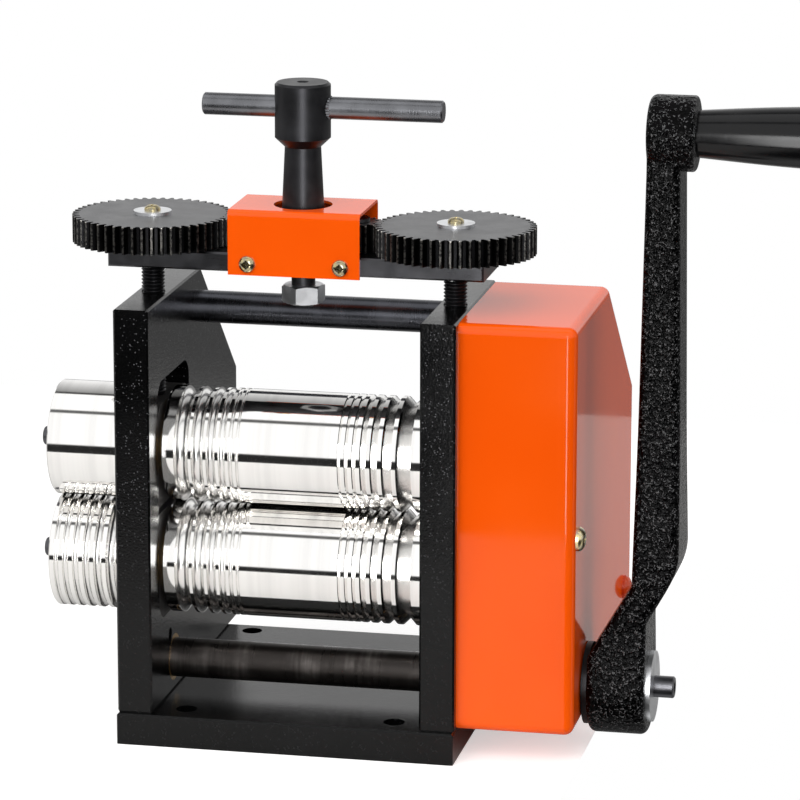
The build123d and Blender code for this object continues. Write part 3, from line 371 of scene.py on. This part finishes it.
def cast_enamel(at):
    lumps = noise(at, 620, 1.5)
    swells = noise(at, 230, 1.0)
    flank = lumps - 0.58
    broken = noise(at, 1300, 1.0).spread(0.45, 0.6)
    # Painted glints: thin pale streaks along the flanks of the lumps, put into the colour.
    painted_glint_streaks = (1 - (flank * flank).spread(0.0004, 0.0022)) * broken
    return surface(
        at,
        Base_Color=painted_glint_streaks.between((0.0005, 0.0005, 0.0006), (0.12, 0.12, 0.122)),
        Roughness=0.12 + 0.06 * swells,
        Specular_IOR_Level=0.06,
        Normal=grain(at, lumps + 0.5 * swells, 0.0009))


finish("hammered_enamel", cast_enamel, "crank_arm")

# ---- grip ----
# Gloss black plastic, moulded in one piece, bored through and swelling to fill the palm.
# It turns on its bolt, and hands have scuffed it along its length.


def gloss_plastic(at):
    scuffs = noise(at, 240, 3.0, (0.3, 1, 1)).spread(0.5, 0.8)
    return surface(
        at,
        Base_Color=scuffs.between((0.003, 0.003, 0.0035), (0.006, 0.006, 0.0065)),
        Roughness=0.16 + 0.12 * scuffs,
        Specular_IOR_Level=0.3,
        Normal=grain(at, noise(at, 90, 1.0), 0.00002))


finish("black_plastic", gloss_plastic, "crank_grip")

# ---- bridge beam, idler pins, tee handle and adjusting screws ----
# A flat beam with pins, a turned spindle with a cross bar and two threaded screws.
# All are blackened steel, with the grain along the beam and around what is turned.

finish("beam_oxide", lambda at: black_oxide(at, (0.04, 1, 1), (0.075, 0.075, 0.08)),
       "bridge_beam", "adjust_idler_pins")
# The spindle and screws are coloured darker and the bar lighter than the same blackened steel:
# painted shade and painted highlight.
finish("handle_oxide_z", lambda at: black_oxide(at, (0.05, 0.05, 1), (0.04, 0.04, 0.043), 0.32),
       "handle_spindle", "left_adjusting_screw", "right_adjusting_screw")
finish("handle_oxide_x", lambda at: black_oxide(at, (1, 0.05, 0.05), (0.18, 0.183, 0.195), 0.22),
       "handle_bar")

# ---- adjusting gears ----
# The tee's pinion, two idlers and a large gear on each adjusting screw, cut from blackened steel.
# The tooth edges are rubbed bright, with a painted glint along their top edge, and painted shade
# darkens the flanks and sides below the top face.

gear_top = 0.2217
idler_x, screw_x = 0.0225, 0.065
pinion_tip, idler_tip, gear_tip = 0.01375, 0.01125, 0.03375


def gear_oxide(at, x, tip):
    """Blackened cut gear on an upright axis at that x, with that radius over its teeth."""
    film = noise(at, 110, 4.0).spread(0.3, 0.75)
    faced = noise(at, 2400)
    rise = at.part("Z")
    rim = at.away((1, 1, 0), (x, axis_y, 0)).spread(tip - 0.00045, tip - 0.0001)
    painted_glint_edge = rise.spread(gear_top - 0.0005, gear_top - 0.0001)
    face = rise.spread(gear_top - 0.00012, gear_top - 0.00002)
    # Rubbed tooth tips, brightest along the top edge as a painted glint.
    worn_and_painted_glint = rim * (0.12 + 0.88 * painted_glint_edge) * noise(at, 900).spread(0.35, 0.6)
    oxide = film.between((0.13, 0.13, 0.135), (0.17, 0.17, 0.175))
    # Painted shade: below the top face the teeth are coloured near black.
    black = face.between((0.010, 0.010, 0.0105), oxide)
    return surface(
        at,
        Base_Color=worn_and_painted_glint.between(black, (0.60, 0.57, 0.52)),
        Metallic=1.0,
        Roughness=0.31 + 0.10 * film + 0.06 * faced,
        Normal=grain(at, faced + film, 0.00005))


for gear, x, tip in (("handle_pinion", 0, pinion_tip),
                     ("left_adjust_idler", -idler_x, idler_tip),
                     ("right_adjust_idler", idler_x, idler_tip),
                     ("left_adjusting_gear", -screw_x, gear_tip),
                     ("right_adjusting_gear", screw_x, gear_tip)):
    finish(gear + "_oxide", lambda at: gear_oxide(at, x, tip), gear)

# ---- studio light ----
# A room lit from all round: soft boxes in front and overhead with dark gaps between.
# The wall behind is pale, and a large soft light and a narrow one for the grip stand in front.

world = bpy.data.worlds.new("studio")
bpy.context.scene.world = world
world.use_nodes = True
world.node_tree.nodes.clear()
sky = Socket(world.node_tree)
towards = sky.node("ShaderNodeTexCoord", output="Generated")
front, rise = -1 * towards.part("Y"), towards.part("Z")
turn = sky.node("ShaderNodeMath", {"operation": "FRACT"},
                _0=rise.maths("ARCTAN2", rise, front) / (2 * pi) + 0.25)
# Degrees from the front horizon, up over the mill and down behind it, with the light there.
lights = ((-90, 0.80), (-70, 0.03), (-3, 0.02), (-1, 1.10), (61, 1.10), (63, 0.12), (68, 0.12),
          (70, 1.15), (109, 1.15), (110.5, 0.05), (114, 0.05), (117, 0.32), (138, 0.62),
          (160, 0.90), (179, 0.95), (183, 0.20), (235, 0.20), (269, 0.80))
stops = [((degrees + 90) / 360, (light, light, light)) for degrees, light in lights]
glow = turn.node("ShaderNodeValToRGB", {"stops": stops}, Fac=turn)
camera_ray = sky.node("ShaderNodeLightPath", output="Is Camera Ray")
white = sky.node("ShaderNodeBackground", Color=(1, 1, 1), Strength=1.0)
room = sky.node("ShaderNodeBackground", Color=glow, Strength=1.0)
sky.node("ShaderNodeOutputWorld",
         Surface=sky.node("ShaderNodeMixShader", _0=camera_ray, _1=room, _2=white))

light_aim = Vector((0.02, -0.03, 0.12))


def away_from(azimuth, elevation):
    """Direction from the mill: azimuth in radians from the front to the crank's side, and up."""
    return Vector((sin(azimuth) * cos(elevation), -cos(azimuth) * cos(elevation), sin(elevation)))


def softbox(name, azimuth, elevation, distance, width, height, radiance):
    """A soft light on the mill from those angles in degrees, whose face has that radiance."""
    lamp = bpy.data.lights.new(name, "AREA")
    lamp.shape = "RECTANGLE"
    lamp.size, lamp.size_y = width, height
    lamp.energy = pi * width * height * radiance
    holder = bpy.data.objects.new(name, lamp)
    bpy.context.scene.collection.objects.link(holder)
    back = away_from(radians(azimuth), radians(elevation))
    holder.location = light_aim + distance * back
    holder.rotation_euler = back.to_track_quat("Z", "Y").to_euler()
    return holder


large = softbox("front_softbox", azimuth=-12, elevation=38, distance=1.6,
                width=1.5, height=1.2, radiance=2.0)
large.visible_glossy = False
narrow = softbox("crank_card", azimuth=9, elevation=5, distance=0.55,
                 width=0.12, height=0.42, radiance=9.0)
narrow.visible_camera = narrow.visible_diffuse = False

# ---- bench and studio floor ----
# A white painted bench top, cut back beside the gear cover so that the crank swings below it.
# A strip of the studio's floor shows below its cut, in the side of the gear cover.

bench_side, bench_front, bench_back = 3.0, -0.42, 0.55
cut_left, cut_back = 0.1233, 0.27
floor_drop, floor_left, floor_front, floor_back = -0.3, 0.1, 1.0, 1.6


def plate(name, corners, shader):
    """A flat stage piece through the given corners, shaded by shader(at)."""
    mesh = bpy.data.meshes.new(name)
    mesh.from_pydata(corners, [], [tuple(range(len(corners)))])
    piece = bpy.data.objects.new(name, mesh)
    bpy.context.scene.collection.objects.link(piece)
    mesh.materials.append(finish(name, shader))


def bench_white(at):
    """White that stays white to the camera, and still takes the object's shadow."""
    ray = at.node("ShaderNodeLightPath", output="Is Camera Ray")
    rear = at.part("Y").spread(-0.06, 0.12)
    colour = rear.between((0.86, 0.85, 0.835), (0.50, 0.495, 0.487))
    paint = at.node("ShaderNodeBsdfDiffuse", Color=colour)
    lift = at.node("ShaderNodeEmission", Color=(1, 1, 1), Strength=(0.5 + 0.17 * rear) * ray)
    return at.node("ShaderNodeAddShader", _0=paint, _1=lift)


plate("bench_top",
      [(-bench_side, bench_front, 0), (cut_left, bench_front, 0), (cut_left, cut_back, 0),
       (bench_side, cut_back, 0), (bench_side, bench_back, 0), (-bench_side, bench_back, 0)],
      bench_white)
plate("studio_floor",
      [(floor_left, floor_front, floor_drop), (bench_side, floor_front, floor_drop),
       (bench_side, floor_back, floor_drop), (floor_left, floor_back, floor_drop)],
      bench_white)

# ---- camera ----
# A long lens at the photograph's angle.
# It stands a little above the rolls and to the crank's side.

azimuth, elevation, roll, distance = radians(11.63), radians(13.54), radians(0.1), 1.8151
target = Vector((0.04934, -0.0695, 0.15545))
back = away_from(azimuth, elevation)
right = Vector((cos(azimuth), sin(azimuth), 0))
up = back.cross(right)
right, up = right * cos(roll) + up * sin(roll), up * cos(roll) - right * sin(roll)
lens = bpy.data.cameras.new("camera")
lens.lens, lens.sensor_width = 198.8, 36.0
lens.clip_end = 50.0
camera = bpy.data.objects.new("camera", lens)
bpy.context.scene.collection.objects.link(camera)
turned = Matrix((right, up, back)).transposed().to_4x4()
camera.matrix_world = Matrix.Translation(target + distance * back) @ turned
bpy.context.scene.camera = camera
bpy.context.scene.view_settings.view_transform = "Standard"
